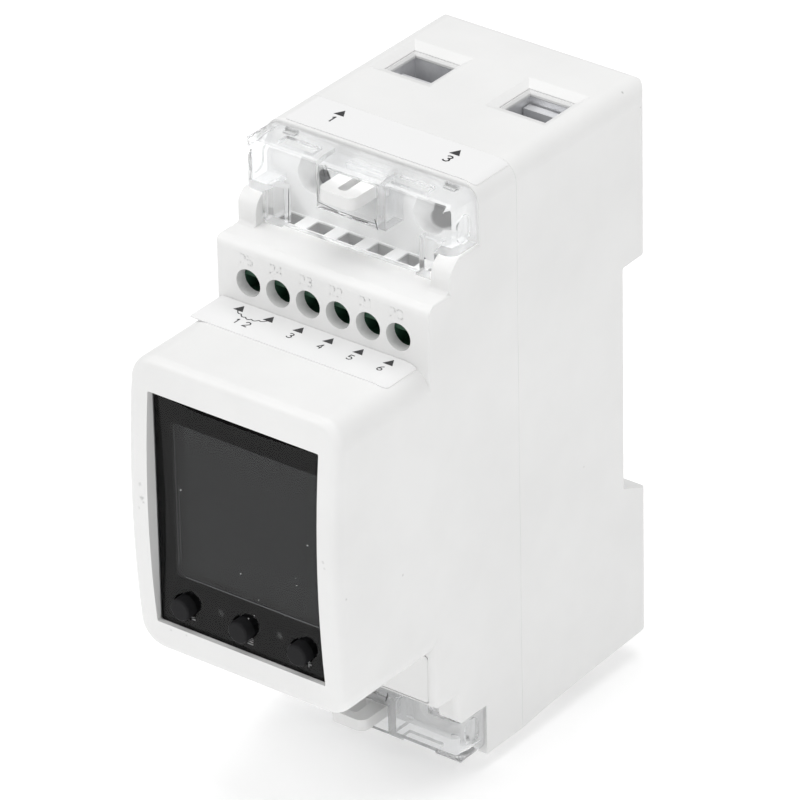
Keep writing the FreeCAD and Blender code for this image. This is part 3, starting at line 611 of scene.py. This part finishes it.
# white marks printed behind the window: minus, menu bars, plus, and the light line under the display
YM = -65.6
M["lcd_line"] = mat_plastic("display_edge", (0.34, 0.345, 0.35), 0.1, (0.3, 0.4), 900.0, 0.05)
M["lcd_side"] = mat_plastic("display_side_edge", (0.040, 0.040, 0.042), 0.1, (0.3, 0.4), 900.0, 0.05)
M["dust"] = mat_plastic("dust", (0.9, 0.9, 0.89), 0.1, (0.6, 0.8), 3000.0, 0.05)
# painted shade: near-black colour for the shadowed gap above the window
M["gap"] = mat_plastic("painted_gap_shade", (0.002, 0.002, 0.002), 0.2, (0.7, 0.8), 900.0, 0.02, 0.00002, 0.05)
M["white_ink"] = mat_plastic("white_ink", (0.62, 0.62, 0.62), 0.06, (0.4, 0.55), 1500.0, 0.04)
marks = []
marks += [[(-10.5, 24.05), (-9.5, 24.05), (-9.5, 24.22), (-10.5, 24.22)]]
marks += [[(9.55, 24.05), (10.45, 24.05), (10.45, 24.22), (9.55, 24.22)], [(9.91, 23.69), (10.09, 23.69), (10.09, 24.58), (9.91, 24.58)]]
for dz in (-0.36, 0.0, 0.36):
    marks.append([(-0.5, 24.05 + dz), (0.5, 24.05 + dz), (0.5, 24.2 + dz), (-0.5, 24.2 + dz)])
v, f = plate_mesh(marks, face_y(YM - 0.004), 0.006)
f = [q[::-1] for q in f]
window_marks = add_mesh("window_marks", v, f, M["white_ink"], "housing")

# fine light edge below the display, seen through the window
v, f = plate_mesh([[(-11.1, 30.30), (12.3, 30.42), (12.3, 30.51), (-11.1, 30.37)]], face_y(-65.455), 0.006)
f = [q[::-1] for q in f]
display_edge = add_mesh("display_edge", v, f, M["lcd_line"], "housing")
v, f = plate_mesh([[(-12.26, 32.0), (-12.08, 32.0), (-12.14, 53.6), (-12.3, 53.6)], [(-11.84, 33.0), (-11.68, 33.0), (-11.66, 44.5), (-11.78, 44.5)]], face_y(-65.455), 0.006)
f = [q[::-1] for q in f]
display_side = add_mesh("display_side", v, f, M["lcd_side"], "housing")

# dust on the window
marks = []
for (x, z, r) in ((-10.13, 45.08, 0.09), (2.70, 42.50, 0.06), (11.43, 43.91, 0.10), (-0.20, 35.44, 0.08), (9.26, 38.06, 0.05), (9.39, 36.98, 0.07),
                  (2.77, 32.37, 0.06), (7.22, 31.44, 0.05), (-6.2, 39.6, 0.035), (4.9, 50.2, 0.035), (0.9, 28.75, 0.08), (1.9, 29.6, 0.06)):
    marks.append([(x + r * (1.0 + 0.35 * math.sin(3.1 * k + 5 * x)) * math.cos(k * math.pi / 4), z + r * 0.8 * math.sin(k * math.pi / 4)) for k in range(8)])
v, f = plate_mesh(marks, face_y(-67.101), 0.008)
f = [q[::-1] for q in f]
window_dust = add_mesh("window_dust", v, f, M["dust"], "housing")

# painted shade: near-black strip on the window face for the shadowed gap between the window and the upper edge of its
# opening
top_pts = [(-13.9, 59.3), (13.9, 59.3)]
low_pts = [(13.9, 58.66), (11.5, 58.5), (8.1, 58.28), (5.6, 58.2), (3.0, 58.16), (-1.2, 58.12), (-5.4, 58.12), (-7.8, 58.2), (-9.5, 58.45), (-13.9, 58.66)]
v, f = plate_mesh([top_pts + low_pts], face_y(-67.101), 0.004)
f = [q[::-1] for q in f]
window_gap_shade = add_mesh("window_gap_shade", v, f, M["gap"], "housing")

# coil spring of the rail latch; the real spring shortens as the latch is pulled down, this coil keeps one length
def coil(cx, cy, z0, z1, r, w, turns, seg=28, sides=8):
    verts, faces = [], []
    n = turns * seg
    pitch = (z1 - z0) / turns / (2 * math.pi)
    for i in range(n + 1):
        t = 2 * math.pi * i / seg
        c, q = math.cos(t), math.sin(t)
        tan = Vector((-r * q, r * c, pitch)).normalized()
        nrm = Vector((c, q, 0.0))
        bi = tan.cross(nrm)
        for k in range(sides):
            u = 2 * math.pi * k / sides
            d = nrm * (w * math.cos(u)) + bi * (w * math.sin(u))
            verts.append(P(cx + r * c + d.x, cy + r * q + d.y, z0 + pitch * t + d.z))
    for i in range(n):
        for k in range(sides):
            b0, b1 = i * sides, (i + 1) * sides
            faces.append((b0 + k, b1 + k, b1 + (k + 1) % sides, b0 + (k + 1) % sides))
    faces.append(tuple(range(sides)))
    faces.append(tuple(n * sides + k for k in reversed(range(sides))))
    return verts, faces


v, f = coil(0.0, -2.4, 9.6, 19.0, 0.85, 0.16, 8)
latch_coil = add_mesh("latch_coil", v, f, M["spring"], "housing", True)
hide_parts("latch_spring")
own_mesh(latch_coil)

# ------------------------------------------------------------------ stage
def floor_mat():
    m = new_mat("studio_floor")
    p, o = principled(m)
    v = coords(m)
    n1 = tex_noise(m, v, 3.0, 3.0)
    ln(m, mixc(m, n1, (0.74, 0.74, 0.74), (0.76, 0.76, 0.76)), p.inputs["Base Color"])
    val(p.inputs["Roughness"], 0.9)
    val(p.inputs["Specular IOR Level"], 0.1)
    val(p.inputs["Emission Color"], (1, 1, 1, 1))
    val(p.inputs["Emission Strength"], 0.36)
    return m


# the floor lies a little lower, so that the latch can be pulled to its limit above it
lo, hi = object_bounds()
zf = lo[2] - 0.0024
me = bpy.data.meshes.new("floor")
me.from_pydata([(-4, -4, zf), (4, -4, zf), (4, 4, zf), (-4, 4, zf)], [], [(0, 1, 2, 3)])
floor = bpy.data.objects.new("floor", me)
SC.collection.objects.link(floor)
floor.data.materials.append(floor_mat())

w = bpy.data.worlds.new("studio")
SC.world = w
w.use_nodes = True
bg = w.node_tree.nodes.get("Background") or w.node_tree.nodes.new("ShaderNodeBackground")
bg.inputs["Color"].default_value = (1.0, 1.0, 1.0, 1)
bg.inputs["Strength"].default_value = 0.46


def area(name, loc, target, size, energy, size_y=None):
    L = bpy.data.lights.new(name, "AREA")
    L.shape = "RECTANGLE"
    L.size = size
    L.size_y = size_y or size
    L.energy = energy
    ob = bpy.data.objects.new(name, L)
    SC.collection.objects.link(ob)
    ob.location = loc
    d = Vector(target) - Vector(loc)
    ob.rotation_euler = d.to_track_quat("-Z", "Y").to_euler()
    return ob


area("key", (-0.55, -0.75, 0.75), (0, -0.03, 0), 0.7, 4.0)
area("top_soft", (0.0, 0.1, 1.1), (0, -0.03, 0), 1.0, 7.1)
area("right_soft", (0.9, -0.35, 0.35), (0, -0.03, 0), 0.7, 1.2)
area("front_soft", (0.80, -0.85, 0.30), (0, -0.03, 0), 0.7, 0.95)

# camera fitted to the photograph
cam = bpy.data.cameras.new("camera")
cam.sensor_width = 36.0
cam.sensor_fit = "HORIZONTAL"
cam.lens = 342.56
cam.clip_start = 0.05
cam.clip_end = 20.0
co = bpy.data.objects.new("camera", cam)
SC.collection.objects.link(co)
right = Vector((0.7946899142, 0.6067437237, -0.0181657354))
down = Vector((0.2891797124, -0.4047295442, -0.8675074005))
fwd = Vector((-0.5337068804, 0.6841462196, -0.4970924625))
up, back = -down, -fwd
cpos = P(555.3627, -743.7265, 563.1890)
co.matrix_world = Matrix((
    (right.x, up.x, back.x, cpos.x),
    (right.y, up.y, back.y, cpos.y),
    (right.z, up.z, back.z, cpos.z),
    (0, 0, 0, 1)))
SC.camera = co
SC.view_settings.view_transform = "Standard"
SC.view_settings.look = "None"
